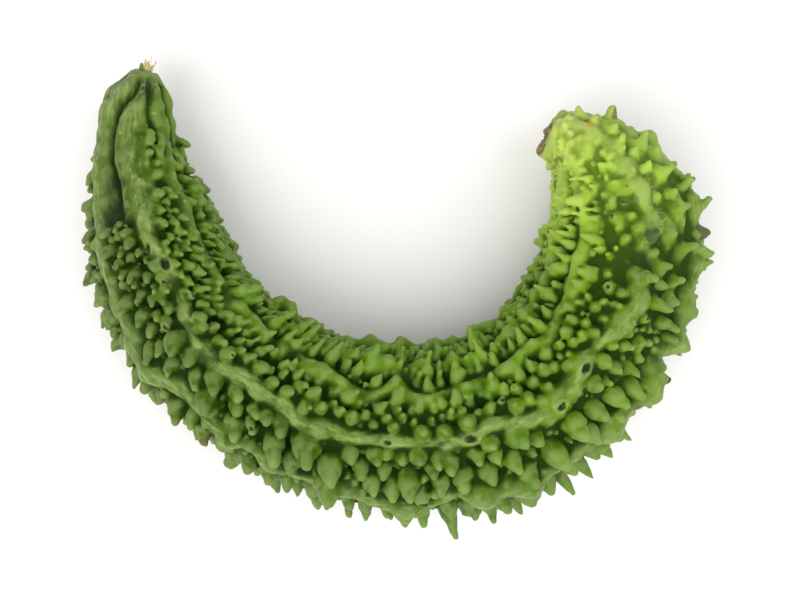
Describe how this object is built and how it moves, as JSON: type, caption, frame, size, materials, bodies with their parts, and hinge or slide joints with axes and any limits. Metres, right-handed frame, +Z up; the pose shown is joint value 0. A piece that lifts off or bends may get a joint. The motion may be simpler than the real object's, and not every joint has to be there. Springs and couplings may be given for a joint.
{
  "type": "bitter gourd",
  "caption": "Ridged, warty green gourd curled into a U and lying on its side, with a torn stalk stub at its stem end.",
  "frame": {"origin": "on the table, under the middle of the curled gourd's bounding box", "axes": "+Z up from the table; +X from the stem arm of the U to the blossom arm; +Y out of the open side of the U"},
  "size_m": [0.1892, 0.144, 0.0533],
  "materials": {
    "rind": "waxy, semi-gloss green skin",
    "dry_stalk": "dry torn fibre"
  },
  "bodies": {
    "root": {"fruit": "rind", "stalk_stub": "dry_stalk"}
  },
  "joints": []
}
